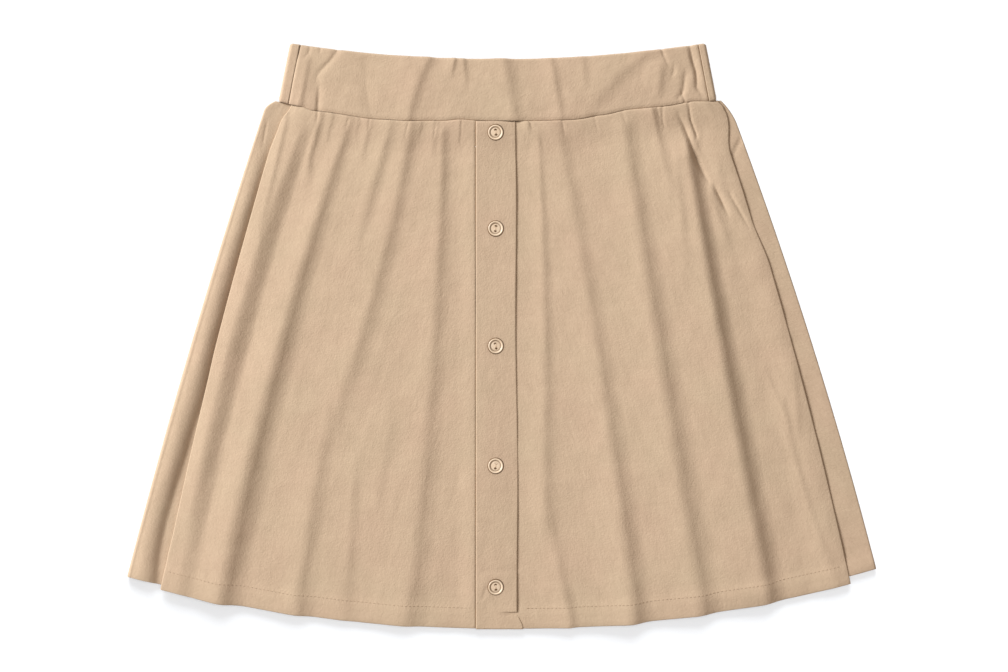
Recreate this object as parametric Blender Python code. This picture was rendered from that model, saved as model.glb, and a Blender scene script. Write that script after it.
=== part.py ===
"""An a-line skirt of brushed suedette, laid flat on its back panel.

Seen from above with the waistband towards +Y: a back panel lies on the surface and turns up
and back in at both sides, two front panels lie on it and fold under at their outer edges, a
buttoned placket lies over the right panel, and a double waistband closes the top.

X runs across the skirt, Y up to the waistband and Z out of the surface. The origin is under
the middle of the skirt. Sizes are millimetres here and become metres when a point is made.

Every long line of the skirt, from its sides to its folds, leaves the waist seam and fans out
to the hem, so each is given by where it starts, where it ends and how far it bows outwards.
"""

import bmesh
import bpy
from math import cos, pi, radians, sin, sqrt
from mathutils import Matrix, Vector

MM = 0.001

# Cloth ------------------------------------------------------------------------------------
WALL = 1.0            # thickness of the panels' cloth
GAP = 0.3             # air between neighbouring pieces
LAYER = WALL + GAP    # from the middle of one lying layer to the middle of the next
BACK = WALL / 2       # height of the middle of the back panel
VALLEY = BACK + LAYER           # front cloth where it lies down, and the turned-in side strips
UNDERFOLD = VALLEY + LAYER      # front cloth where it is folded under at its outer edges
SHELF = UNDERFOLD + LAYER       # front cloth lying over its own underfold
TURN = LAYER / 2      # radius of a side's turn, at the middle of the cloth
OVERLAP = 10.0        # how far a front panel is folded under

# Outline ----------------------------------------------------------------------------------
SEAM_Y = 168.5        # waist seam at the centre front
SEAM_RISE = 15.0      # how much higher the seam is at the sides
SEAM_HALF = 171.0     # half the width of the waist seam
SEAM_CENTRE = -3.0    # the waist lies a little to the left of the hem's middle
HEM_Y = -227.8        # lowest point of the hem, at the centre front
FRONT_SWEEP = {"left": 1150.0, "right": 1080.0}     # radius of the front's hem on each side
BACK_SWEEP = {"left": 1020.0, "right": 900.0}       # and of the back's, which lies higher
SHOULDER = 0.04       # part of the length in which the gathered sides swell out from the seam

# Waistband --------------------------------------------------------------------------------
BAND_WALL = 2.5       # double cloth round an elastic
BAND_TOP_Y = 216.2    # top edge at the centre front
BAND_TOP_RISE = 14.0  # how much higher the top edge is at the sides
BAND_TOP_LEFT = -165.0
BAND_TOP_RIGHT = 159.5
BAND_SEAM_LEFT = -174.0
BAND_SEAM_RIGHT = 168.0
CROWDING = 0.35       # how much closer the front band's columns stand at its sides
BAND_STRIP = {"left": 8.0, "right": 6.0}    # how far the back band shows round each side
BAND_BACK = BAND_WALL / 2
BAND_FRONT = BAND_BACK + BAND_WALL + GAP
WAIST_LEVEL = 3.9     # height at which the front panels reach the waistband
WAIST_EASE = 0.09     # part of the length in which they sink from it

# Placket and buttons ----------------------------------------------------------------------
PLACKET_LEFT = -20.0
PLACKET_RIGHT = 12.0
PLACKET_WALL = 2.0    # cloth folded double
PLACKET = VALLEY + WALL / 2 + GAP + PLACKET_WALL / 2
UNDERLAP = 4.0        # the right panel ends this far inside the placket's left edge
PLACKET_EASE = 4.0    # beside the placket, where the right panel starts to rise to the seam
BUTTON_X = -4.5
BUTTON_YS = (159.5, 84.5, -7.0, -100.5, -195.0)
BUTTON_SIDES = 24
HOLE_RADIUS = 0.9
HOLE_OFFSET = 2.1     # needle holes above and below a button's centre
BUTTON_PROFILE = (    # a button's turned section from its foot round to its middle
    # radius, height
    (4.6, 0.0),
    (6.0, 0.6),
    (6.35, 1.4),
    (5.9, 2.4),
    (5.1, 2.9),
    (4.5, 2.3),
    (3.9, 1.7),
    (3.3, 1.9),
)

# Long lines, each as: across at the waist seam, across at the hem, bow at half length ------
LEFT_SIDE = (-183.0, -292.0, -3.3)
RIGHT_SIDE = (177.0, 292.5, 5.5)
LEFT_FOLD = (-169.0, -264.5, -5.6)
RIGHT_FOLD = (169.0, 273.0, 6.0)
SIDE_DROP = (-149.0, -249.0, -7.0)    # where the left front comes down off its own underfold
DROP_START = 0.65     # it starts down this part of the way from the underfold's end
LEFT_SHOULDER = 7.0   # how far the sides are drawn in at the seam
RIGHT_SHOULDER = 5.0

# Pleats: each rises gently from the one on its left and drops at its own line.
# name, across at the waist, across at the hem, bow, rise at the waist, half way, at the hem
LEFT_PLEATS = (
    ("long", -117.0, -214.0, -6.0, 2.0, 3.4, 2.6),
    ("slanting", -63.0, -162.0, -2.0, 2.0, 2.2, 3.2),
    ("beside placket", -45.5, -70.0, 7.0, 2.2, 2.6, 3.0),
)
RIGHT_PLEATS = (
    ("short", 32.0, 50.0, -6.0, 1.2, 1.4, 2.6),
    ("straight", 50.0, 108.0, 1.0, 1.6, 2.6, 3.0),
    ("leaning", 97.5, 160.0, -0.6, 2.2, 2.8, 2.8),
    ("deep", 140.0, 215.0, 1.6, 3.5, 3.5, 3.4),
)
# A pleat's section from one line to the next.
# part of the way across, part of its height
PLEAT_SECTION = ((0.0, 0.0), (0.15, 0.0), (0.40, 0.36), (0.62, 0.8), (0.76, 1.0), (0.88, 0.5))

# Where cloth rises easily instead: part of the way across, part of the rise
RISE_SECTION = ((0.0, 0.0), (0.3, 0.3), (0.7, 0.85), (1.0, 1.0))

# Gathers of the waistband, where its elastic draws it in towards the sides.
# across, half width, height
BAND_GATHERS = (
    (-158.0, 4.0, 0.8),
    (-146.0, 5.0, 1.1),
    (-134.0, 6.0, 1.0),
    (-108.0, 8.0, 0.7),
    (86.0, 9.0, 0.7),
    (110.0, 8.0, 0.8),
    (128.0, 6.0, 1.0),
    (140.0, 5.0, 1.1),
    (151.0, 4.0, 1.0),
)

# Down the length, from the waist seam to the hem
ROWS = (0.0, 0.015, 0.035, 0.06, 0.09, 0.14, 0.22, 0.32, 0.44, 0.56, 0.68, 0.79, 0.9, 1.0)


# Shapes of lines --------------------------------------------------------------------------
def smooth(t):
    """An easy step from 0 to 1."""
    t = min(max(t, 0.0), 1.0)
    return t * t * (3 - 2 * t)


def mix(a, b, t):
    return a + (b - a) * t


def along(line, down):
    """How far across a long line is, a part of the way down."""
    waist, hem, bow = line
    return mix(waist, hem, down) + 4 * bow * down * (1 - down)


def through(start, middle, end, down):
    """A value that has these sizes at the waist, half way down and at the hem."""
    return (start * (1 - down) * (1 - 2 * down) + 4 * middle * down * (1 - down)
            + end * down * (2 * down - 1))


def seam_y(x):
    return SEAM_Y + SEAM_RISE * ((x - SEAM_CENTRE) / SEAM_HALF) ** 2


def hem_y(x, sweep):
    radius = sweep["left"] if x < 0 else sweep["right"]
    return HEM_Y + radius - sqrt(radius ** 2 - x ** 2)


def band_top_y(x):
    return BAND_TOP_Y + BAND_TOP_RISE * ((x - SEAM_CENTRE) / SEAM_HALF) ** 2


def left_side(down):
    drawn_in = LEFT_SHOULDER * (1 - smooth(down / SHOULDER))
    return along(LEFT_SIDE, down) + drawn_in


def right_side(down):
    drawn_in = RIGHT_SHOULDER * (1 - smooth(down / SHOULDER))
    return along(RIGHT_SIDE, down) - drawn_in


def left_fold(down):
    return along(LEFT_FOLD, down)


def right_fold(down):
    return along(RIGHT_FOLD, down)


# Columns of points ------------------------------------------------------------------------
# A sheet is a list of columns. Each column is a function that takes how far down a point is
# and gives how far across and how high the middle of the cloth is there.
def flat_column(place, inset, height):
    """A column beside a line, at one height."""
    return lambda down: (place(down) + inset, height)


def turn_columns(place, side, low, steps=4):
    """The cloth turning over at a line, from one layer to the next above it.

    side is -1 where the line is the cloth's left edge and 1 where it is its right edge.
    """
    columns = []
    for step in range(steps + 1):
        angle = -pi / 2 + pi * step / steps
        inset = side * (TURN * cos(angle) - TURN - WALL / 2)
        columns.append(flat_column(place, inset, low + TURN + TURN * sin(angle)))
    return columns


def between(left, right, part, height):
    """A column a part of the way from one line to another; height depends on the length."""
    return lambda down: (mix(left(down), right(down), part), height(down))


def flat_line(x):
    """A line straight down the skirt."""
    return lambda down: x


def pleat_line(row):
    _name, waist, hem, bow, *_rises = row
    return lambda down: along((waist, hem, bow), down)


def pleat_columns(left, row):
    """One pleat, from the line on its left up to the column before its own line."""
    rises = row[4:]
    columns = []
    for part, share in PLEAT_SECTION:
        def height(down, share=share):
            rise = VALLEY + share * through(*rises, down)
            return lifted(rise, down)
        columns.append(between(left, pleat_line(row), part, height))
    return columns


def lifted(height, down):
    """The front cloth's height, raised near the waist seam to meet the waistband."""
    raised = max(height, WAIST_LEVEL)
    return mix(raised, height, smooth(down / WAIST_EASE))


def lifted_level(level):
    return lambda down: lifted(level, down)


def back_columns():
    """The back panel: its left strip, its left turn, the lying cloth, and the right again."""
    columns = [flat_column(left_fold, OVERLAP, VALLEY), flat_column(left_fold, 0, VALLEY)]
    columns += reversed(turn_columns(left_side, -1, BACK))
    lying = 12
    for step in range(1, lying):
        columns.append(between(left_side, right_side, step / lying, lambda down: BACK))
    columns += turn_columns(right_side, 1, BACK)
    columns += [flat_column(right_fold, 0, VALLEY), flat_column(right_fold, -OVERLAP, VALLEY)]
    return columns


def rise_columns(left, right, top):
    """Cloth rising easily from where it lies down at one line to a height at another."""
    return [between(left, right, part, lifted_level(mix(VALLEY, top, share)))
            for part, share in RISE_SECTION]


def front_left_columns():
    """The left front panel, from its underfold over its pleats to the placket's seam."""
    def shelf(down):
        return left_fold(down) + OVERLAP + WALL

    def drop(down):
        return along(SIDE_DROP, down)

    columns = [flat_column(left_fold, OVERLAP, UNDERFOLD)]
    columns += turn_columns(left_fold, -1, UNDERFOLD)
    columns.append(flat_column(shelf, 0, SHELF))
    columns.append(between(shelf, drop, DROP_START, lambda down: SHELF))
    columns.append(between(shelf, drop, (DROP_START + 1) / 2, lambda down: UNDERFOLD))
    previous = drop
    for row in LEFT_PLEATS:
        columns += pleat_columns(previous, row)
        previous = pleat_line(row)
    columns += rise_columns(previous, flat_line(PLACKET_LEFT - GAP), PLACKET)
    return columns


def front_right_columns():
    """The right front panel, from under the placket over its pleats to its underfold."""
    clear = PLACKET_RIGHT + GAP + WALL
    columns = [flat_column(flat_line(x), 0, VALLEY)
               for x in (PLACKET_LEFT + UNDERLAP, BUTTON_X, clear)]

    def shelf(down):
        return right_fold(down) - OVERLAP - WALL

    previous = flat_line(clear + PLACKET_EASE)
    for row in RIGHT_PLEATS:
        columns += pleat_columns(previous, row)
        previous = pleat_line(row)
    columns += rise_columns(previous, shelf, SHELF)
    columns += reversed(turn_columns(right_fold, 1, UNDERFOLD))
    columns.append(flat_column(right_fold, -OVERLAP, UNDERFOLD))
    return columns


# Making solids ----------------------------------------------------------------------------
def suede(name, rgb, roughness):
    material = bpy.data.materials.new(name)
    material.use_nodes = True
    shader = material.node_tree.nodes["Principled BSDF"]
    shader.inputs["Base Color"].default_value = (*rgb, 1.0)
    shader.inputs["Roughness"].default_value = roughness
    shader.inputs["Metallic"].default_value = 0.0
    return material


def add_object(name, bm, material):
    mesh = bpy.data.meshes.new(name)
    bm.to_mesh(mesh)
    bm.free()
    mesh.materials.append(material)
    piece = bpy.data.objects.new(name, mesh)
    bpy.context.scene.collection.objects.link(piece)
    piece.parent = skirt
    return piece


def wall(name, grid_size, place, material, thickness):
    """A sheet of cloth: a grid laid through place(column, row), then given its thickness."""
    columns, rows = grid_size
    bm = bmesh.new()
    bmesh.ops.create_grid(bm, x_segments=columns - 1, y_segments=rows - 1, size=1.0)
    for vertex in bm.verts:
        column = round((vertex.co.x + 1) / 2 * (columns - 1))
        row = round((1 - vertex.co.y) / 2 * (rows - 1))
        vertex.co = Vector(place(column, row)) * MM
    piece = add_object(name, bm, material)
    solid = piece.modifiers.new("Cloth", "SOLIDIFY")
    solid.thickness = thickness * MM
    solid.offset = 0.0
    solid.use_even_offset = True
    solid.use_quality_normals = True
    return piece


def panel(name, columns, sweep, material):
    """A skirt panel from its columns, ending just short of the waist seam."""
    def place(column, row):
        down = ROWS[row]
        x, z = columns[column](down)
        waist_x, _z = columns[column](0.0)
        hem_x, _z = columns[column](1.0)
        top = seam_y(waist_x) - GAP / 2
        return x, mix(top, hem_y(hem_x, sweep), down), z

    return wall(name, (len(columns), len(ROWS)), place, material, WALL)


def band_edge(left_or_right, part):
    """The waistband's side at a part of its depth, from the top edge to the seam."""
    if left_or_right == "left":
        return mix(BAND_TOP_LEFT, BAND_SEAM_LEFT, part)
    return mix(BAND_TOP_RIGHT, BAND_SEAM_RIGHT, part)


def band_y(x, part):
    return mix(band_top_y(x), seam_y(x) + GAP / 2, part)


def gather_height(x):
    """How far the front band is pushed up by its gathers."""
    height = 0.0
    for middle, half, rise in BAND_GATHERS:
        away = abs(x - middle) / half
        height += rise * (1 - smooth(away))
    return height


def crowded_to_sides(part):
    """Evenly spaced parts of 0 to 1, moved towards both ends, where the gathers are."""
    side = 2 * part - 1
    return 0.5 + 0.5 * side * (1 + CROWDING - CROWDING * side * side)


def add_band_front(material):
    columns, rows = 49, 4

    def place(column, row):
        part = row / (rows - 1)
        left = band_edge("left", part) + BAND_STRIP["left"] + GAP
        right = band_edge("right", part) - BAND_STRIP["right"] - GAP
        x = mix(left, right, crowded_to_sides(column / (columns - 1)))
        return x, band_y(x, part), BAND_FRONT + gather_height(x)

    return wall("waistband_front", (columns, rows), place, material, BAND_WALL)


def add_band_back(material):
    """The back band lies under the front one and turns up round both sides."""
    turn = (BAND_WALL + GAP) / 2
    outside = turn + BAND_WALL / 2
    steps = 6
    section = [("left", BAND_STRIP["left"], BAND_FRONT)]
    for step in range(steps + 1):
        angle = pi / 2 + pi * step / steps
        height = BAND_BACK + turn + turn * sin(angle)
        section.append(("left", outside + turn * cos(angle), height))
    for step in range(1, 8):
        section.append(("across", step / 8, BAND_BACK))
    for step in range(steps + 1):
        angle = -pi / 2 + pi * step / steps
        height = BAND_BACK + turn + turn * sin(angle)
        section.append(("right", outside - turn * cos(angle), height))
    section.append(("right", BAND_STRIP["right"], BAND_FRONT))
    rows = 4

    def place(column, row):
        part = row / (rows - 1)
        edge, inset, height = section[column]
        if edge == "left":
            x = band_edge("left", part) + inset
        elif edge == "right":
            x = band_edge("right", part) - inset
        else:
            x = mix(band_edge("left", part), band_edge("right", part), inset)
        return x, band_y(x, part), height

    return wall("waistband_back", (len(section), rows), place, material, BAND_WALL)


def add_placket(material):
    """A strip of doubled cloth over the right panel's hidden edge."""
    columns = 5

    def place(column, row):
        x = mix(PLACKET_LEFT, PLACKET_RIGHT, column / (columns - 1))
        y = mix(seam_y(x) - GAP / 2, hem_y(x, FRONT_SWEEP), ROWS[row])
        return x, y, PLACKET

    return wall("placket", (columns, len(ROWS)), place, material, PLACKET_WALL)


def button_mesh():
    """A turned button with a raised rim, a groove and a flat middle, and closed faces."""
    bm = bmesh.new()
    ring = [bm.verts.new((radius * MM, 0.0, height * MM)) for radius, height in BUTTON_PROFILE]
    edges = [bm.edges.new(pair) for pair in zip(ring, ring[1:])]
    bmesh.ops.spin(bm, geom=ring + edges, cent=(0, 0, 0), axis=(0, 0, 1), angle=2 * pi,
                   steps=BUTTON_SIDES, use_merge=True)
    bmesh.ops.remove_doubles(bm, verts=bm.verts, dist=1e-6)
    bmesh.ops.holes_fill(bm, edges=bm.edges, sides=0)
    bmesh.ops.recalc_face_normals(bm, faces=bm.faces)
    mesh = bpy.data.meshes.new("button")
    bm.to_mesh(mesh)
    bm.free()
    mesh.shade_smooth()
    mesh.set_sharp_from_angle(angle=radians(40))
    return mesh


def add_needle_holes():
    """One cutter with two pegs for each button."""
    bm = bmesh.new()
    for y in BUTTON_YS:
        for offset in (-HOLE_OFFSET, HOLE_OFFSET):
            place = Vector((BUTTON_X, y + offset, PLACKET + PLACKET_WALL)) * MM
            bmesh.ops.create_cone(bm, cap_ends=True, segments=10, radius1=HOLE_RADIUS * MM,
                                  radius2=HOLE_RADIUS * MM, depth=0.02,
                                  matrix=Matrix.Translation(place))
    mesh = bpy.data.meshes.new("needle_holes")
    bm.to_mesh(mesh)
    bm.free()
    cutter = bpy.data.objects.new("needle_holes", mesh)
    bpy.context.scene.collection.objects.link(cutter)
    cutter.parent = skirt
    cutter.hide_render = True
    cutter.display_type = "WIRE"
    return cutter


def add_buttons(material):
    mesh = button_mesh()
    mesh.materials.append(material)
    cutter = add_needle_holes()
    foot = PLACKET + PLACKET_WALL / 2 + GAP
    for number, y in enumerate(BUTTON_YS, start=1):
        button = bpy.data.objects.new(f"button_{number}", mesh)
        bpy.context.scene.collection.objects.link(button)
        button.parent = skirt
        button.location = Vector((BUTTON_X, y, foot)) * MM
        holes = button.modifiers.new("Needle holes", "BOOLEAN")
        holes.operation = "DIFFERENCE"
        holes.object = cutter


# The skirt --------------------------------------------------------------------------------
for old in list(bpy.data.objects):
    bpy.data.objects.remove(old)

skirt = bpy.data.objects.new("skirt", None)
bpy.context.scene.collection.objects.link(skirt)

outer_cloth = suede("suedette", (0.604, 0.440, 0.301), 0.92)
horn = suede("button_horn", (0.680, 0.500, 0.320), 0.38)

panel("back_panel", back_columns(), BACK_SWEEP, outer_cloth)
panel("front_left_panel", front_left_columns(), FRONT_SWEEP, outer_cloth)
panel("front_right_panel", front_right_columns(), FRONT_SWEEP, outer_cloth)
add_placket(outer_cloth)
add_band_back(outer_cloth)
add_band_front(outer_cloth)
add_buttons(horn)
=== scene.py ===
# %% [markdown]
# # An a-line skirt in brushed suedette, laid flat
#
# This lesson dresses a plain, solid model of a skirt in real cloth. The solid model is loaded as
# a fixed frame of reference. Every visible piece is then made again as a thin sheet, with its
# folds, turned-up hem, gathers, stitches and buttons. The skirt lies on its back, waistband
# towards +Y, and is seen from straight above.

# %% Load the frame
from math import cos, pi, radians, sin

import bmesh
import bpy
import numpy as np
from mathutils import Euler, Matrix, Vector


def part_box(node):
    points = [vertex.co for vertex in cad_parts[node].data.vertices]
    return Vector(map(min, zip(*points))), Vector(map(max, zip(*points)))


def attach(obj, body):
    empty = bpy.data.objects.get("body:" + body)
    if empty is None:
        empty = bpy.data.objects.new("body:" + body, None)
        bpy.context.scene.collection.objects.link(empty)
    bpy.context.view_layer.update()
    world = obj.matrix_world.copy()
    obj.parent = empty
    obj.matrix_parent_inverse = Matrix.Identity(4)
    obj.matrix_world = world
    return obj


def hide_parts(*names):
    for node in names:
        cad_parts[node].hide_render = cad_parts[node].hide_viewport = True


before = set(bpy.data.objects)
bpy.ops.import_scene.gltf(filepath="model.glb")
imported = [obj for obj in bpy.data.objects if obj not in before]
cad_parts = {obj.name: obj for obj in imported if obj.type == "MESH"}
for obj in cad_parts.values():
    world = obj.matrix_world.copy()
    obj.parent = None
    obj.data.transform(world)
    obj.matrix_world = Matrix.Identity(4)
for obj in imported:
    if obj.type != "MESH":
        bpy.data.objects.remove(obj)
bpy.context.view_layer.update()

MM = 0.001
print("Pieces in the frame:", ", ".join(sorted(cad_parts)))

# %% [markdown]
# ## Where the outline comes from
#
# The outline is read from the frame: the sides of the back panel, the seam under the waistband
# and the hem. Everything below is in millimetres and is turned into metres once, when a mesh is
# made, because a tailor's sizes are easier to read that way.

# %% Read the outline
def box_mm(node):
    low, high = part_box(node)
    return np.array(low) / MM, np.array(high) / MM


back_low, back_high = box_mm("back_panel")
band_low, band_high = box_mm("waistband_back")
placket_low, placket_high = box_mm("placket")
SIDE_LEFT, SIDE_RIGHT = back_low[0], back_high[0]
HEM_Y = back_low[1]
BAND_LEFT, BAND_RIGHT = band_low[0], band_high[0]
SEAM_Y = band_low[1] - 0.15         # waist seam at the centre front
BAND_TOP = band_high[2]             # top of the waistband's cloth
print(f"Hem {SIDE_RIGHT - SIDE_LEFT:.0f} mm across, waist seam {BAND_RIGHT - BAND_LEFT:.0f} mm")

# %% [markdown]
# ## Lines that fan out
#
# An a-line skirt fans out from its waist. Each long line, such as a side or the edge of a fold,
# leaves the waist seam, ends at the hem and bows a little on the way, so three numbers hold it.
# "down" is how far along the skirt a point is: 0 at the waist seam and 1 at the hem. Splines
# could hold the lines too, but three numbers can be read off and changed by hand. First come
# the easy steps that join one size to the next.

# %% Easy steps
def mix(a, b, t):
    return a + (b - a) * t


def smooth(t):
    """An easy step from 0 to 1."""
    t = np.clip(t, 0.0, 1.0)
    return t * t * (3 - 2 * t)


def knots(table, t):
    """Easy steps through a few (place, size) pairs."""
    size = table[0][1] + 0 * t
    for (place, before), (next_place, after) in zip(table, table[1:]):
        size = size + (after - before) * smooth((t - place) / (next_place - place))
    return size


def through(sizes, t):
    """A size that is given at the start, half way and at the end."""
    start, middle, end = sizes
    return start * (1 - t) * (1 - 2 * t) + 4 * middle * t * (1 - t) + end * t * (2 * t - 1)


print("An easy step half way up:", smooth(0.5))

# %% [markdown]
# Where a fold's edge leaves the gathered seam it slips a few millimetres sideways before it
# finds its line. Both sides of the skirt swell out of the seam in the same short stretch.

# %% Lines from the seam to the hem
LINES = {
    # name: across at the waist seam, across at the hem, bow half way
    "left side": (SIDE_LEFT + 109.0, SIDE_LEFT, -3.3),
    "right side": (SIDE_RIGHT - 115.5, SIDE_RIGHT, 5.5),
    "left fold": (-169.0, -264.5, -5.6),
    "right fold": (170.0, 273.0, 5.6),
    "left drop": (-147.0, -246.5, -9.3),
}
SETTLE = {
    # how far a fold's edge is off its line, by how far down it is
    "left fold": ((0.0, 5.0), (0.04, 0.6), (0.10, -1.0), (0.25, -0.6), (0.5, -0.6), (0.58, 0.0),
                  (0.8, 0.0), (0.875, -0.2), (0.93, -0.8), (1.0, -1.3)),
    "right fold": ((0.0, -1.2), (0.014, 1.4), (0.03, 2.2), (0.11, -4.6), (0.17, -4.2),
                   (0.245, -4.1), (0.34, -0.6)),
}


def line_x(name, down):
    waist, hem, bow = LINES[name]
    x = mix(waist, hem, down) + 4 * bow * down * (1 - down)
    return x + knots(SETTLE[name], down) if name in SETTLE else x


def left_side(down):
    """The sides swell out of the gathered seam within the first few millimetres."""
    return line_x("left side", down) + 6.5 * np.clip(1 - down / 0.024, 0, 1) ** 3


def right_side(down):
    return line_x("right side", down) - 5.5 * np.clip(1 - down / 0.05, 0, 1) ** 2


print(f"The left side starts at {left_side(0.0):.1f} mm and ends at {left_side(1.0):.1f} mm")

# %% [markdown]
# The waist seam, the band's top edge and the hem all cross the skirt. The seam and the top edge
# rise towards the sides, and the elastic makes the seam wander. The hem is an arc, because an
# a-line panel is cut as a piece of a wide ring.

# %% Curves across the skirt
SEAM_RISE, SEAM_HALF, WAIST_MIDDLE = 15.0, 171.0, -3.0
BAND_DEPTH, BAND_TOP_RISE = 47.7, 14.0
FRONT_SWEEP = (1150.0, 1080.0)      # radius of the front's hem, left and right
BACK_SWEEP = (1020.0, 900.0)
SEAM_WANDER = ((-174, 0.0), (-157, -1.0), (-147, -2.9), (-134, -2.6), (-102, -3.6), (-79, -3.0),
               (-48, -1.2), (-31, 0.6), (-20, 0.0), (57, -1.0), (77, 0.9), (100, 3.2), (131, 2.6),
               (147, 3.2), (166, 0.9), (175, 0.0))


def seam_y(x):
    """The waist seam, which the elastic pulls a few millimetres up and down."""
    curve = SEAM_Y + SEAM_RISE * ((x - WAIST_MIDDLE) / SEAM_HALF) ** 2
    return curve + knots(SEAM_WANDER, x)


def band_top_y(x):
    return SEAM_Y + BAND_DEPTH + BAND_TOP_RISE * ((x - WAIST_MIDDLE) / SEAM_HALF) ** 2


def hem_y(x, sweep):
    radius = np.where(x < 0, sweep[0], sweep[1])
    return HEM_Y + radius - np.sqrt(radius ** 2 - x ** 2)


print(f"The seam lies at {seam_y(0.0):.1f} mm in the middle and {seam_y(SEAM_HALF):.1f} at its side")

# %% [markdown]
# ## The folds
#
# Laid cloth doesn't wave like water. It climbs slowly towards a crest and then drops over it
# quickly, because its weight pulls each fold the same way. A fold here is a line with a steep
# side to the right of it and a long, easy climb to the left, whose length follows its width.
# The steep side is steepest soon after the crest and then runs out, as a hanging fold's does.
# A cloth simulation would also make folds, but never these ones, so they are given one by one. The
# table gives where each starts and ends, how wide its steep side is and how high it stands at
# its start, its middle and its end, and over what length it fades in and out. A fade of 0 means
# that the fold runs on into the seam or the hem.

# %% The fold table
FRONT_FOLDS = (
    # name, start (x, y), end (x, y), bow, steep side, height, (fade in, fade out)
    ("side pucker", (-167, 169), (-187, 83), 0, (5, 6, 7), (0.8, 0.7, 0.3), (0, 30)),
    ("left gather 1", (-140, 171), (-149, 138), 0, (6, 7, 8), (1.1, 1.4, 1.2), (0, 24)),
    ("left gather 2", (-131, 171), (-135, 158), 0, (4, 4, 4), (0.6, 0.5, 0.3), (0, 12)),
    ("long", (-116.5, 169), (-214, -205), -7, (10, 21, 26), (1.3, 4.2, 5.4), (0, 0)),
    ("left gather 3", (-111, 168), (-113, 159), 0, (4, 4, 4), (0.6, 0.5, 0.3), (0, 10)),
    ("left gather 4", (-102, 165), (-107, 144), 0, (5, 6, 6), (0.7, 0.6, 0.4), (0, 14)),
    ("short left", (-85, 165), (-110, 76), 0, (9, 12, 12), (1.1, 1.25, 0.6), (0, 30)),
    ("slanting", (-68, 165), (-126, -58), 5, (13, 16, 18), (1.9, 1.9, 1.0), (0, 35)),
    ("slanting low", (-134, -73), (-156, -214), -2, (12, 16, 20), (0.6, 1.7, 2.5), (35, 0)),
    ("faint 1", (-85, -65), (-95, -123), 0, (10, 10, 10), (0.4, 0.5, 0.4), (25, 25)),
    ("faint 2", (-113, -112), (-120, -217), 0, (10, 12, 14), (0.5, 0.8, 0.6), (25, 0)),
    ("left gather 5", (-62, 165), (-64, 158), 0, (4, 4, 4), (0.5, 0.5, 0.3), (0, 10)),
    ("left gather 6", (-50, 165), (-53, 146), 0, (5, 5, 5), (0.8, 0.7, 0.3), (0, 14)),
    ("beside placket", (-44, 158), (-70, -221), 5, (9, 17, 20), (1.5, 1.7, 1.9), (10, 0)),
    ("left gather 7", (-31, 168), (-32, 150), 0, (5, 5, 5), (0.6, 0.5, 0.3), (0, 12)),
    ("right gather 1", (22, 169), (19, 146), 0, (5, 5, 5), (0.6, 0.5, 0.3), (0, 12)),
    ("upright", (30, 154), (36, -139), 3, (6, 11, 15), (0.6, 1.2, 0.9), (12, 20)),
    ("upright low", (37, -127), (56, -219), -1, (13, 12, 11), (0.6, 0.9, 1.5), (20, 0)),
    ("straight", (46, 165), (108, -219), 3.5, (12, 16, 21), (1.0, 1.9, 4.0), (0, 0)),
    ("leaning", (99, 161), (161, -213), -1, (15, 21, 22), (2.0, 3.5, 3.2), (14, 0)),
    ("right pinch", (118, 179), (133, 119), 0, (4, 9, 11), (1.3, 1.1, 0.5), (0, 30)),
    ("before deep", (138, 132), (145, 62), 0, (8, 9, 10), (0.4, 0.9, 0.4), (20, 25)),
    ("beside slash", (170, 140), (174, 112), 0, (10, 10, 10), (0.4, 0.8, 0.5), (15, 15)),
    ("deep", (148.5, 140), (211.1, -197), -1.2, (13, 18, 21), (4.4, 5.2, 5.0), (26, 26)),
    ("right of deep", (166, 110), (183, 60), 0, (8, 9, 10), (0.8, 0.9, 0.3), (15, 25)),
    ("fine 1", (206, -26), (225, -65), 0, (5, 5, 5), (0.3, 0.4, 0.2), (12, 12)),
    ("fine 2", (229, -18), (233, -73), 0, (6, 6, 6), (0.3, 0.5, 0.3), (12, 12)),
    ("fine 3", (221, -53), (262, -188), -4, (6, 7, 8), (0.5, 0.6, 0.3), (15, 20)),
)
CLIMB = 1.25          # length of a fold's easy side, as a part of its steep side
LONG_CLIMBS = {"deep": 2.2}
STEEPEST = 0.4        # where the steep side is steepest, from its crest
print(len(FRONT_FOLDS), "folds on the front")

# %% [markdown]
# Sharp creases get their own table. Cloth pinched by the gathering thread is creased and not
# rolled, so the two sides of a crease meet in a line. Each is a short path of points, because
# a crease changes direction where a second one meets it.

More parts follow.
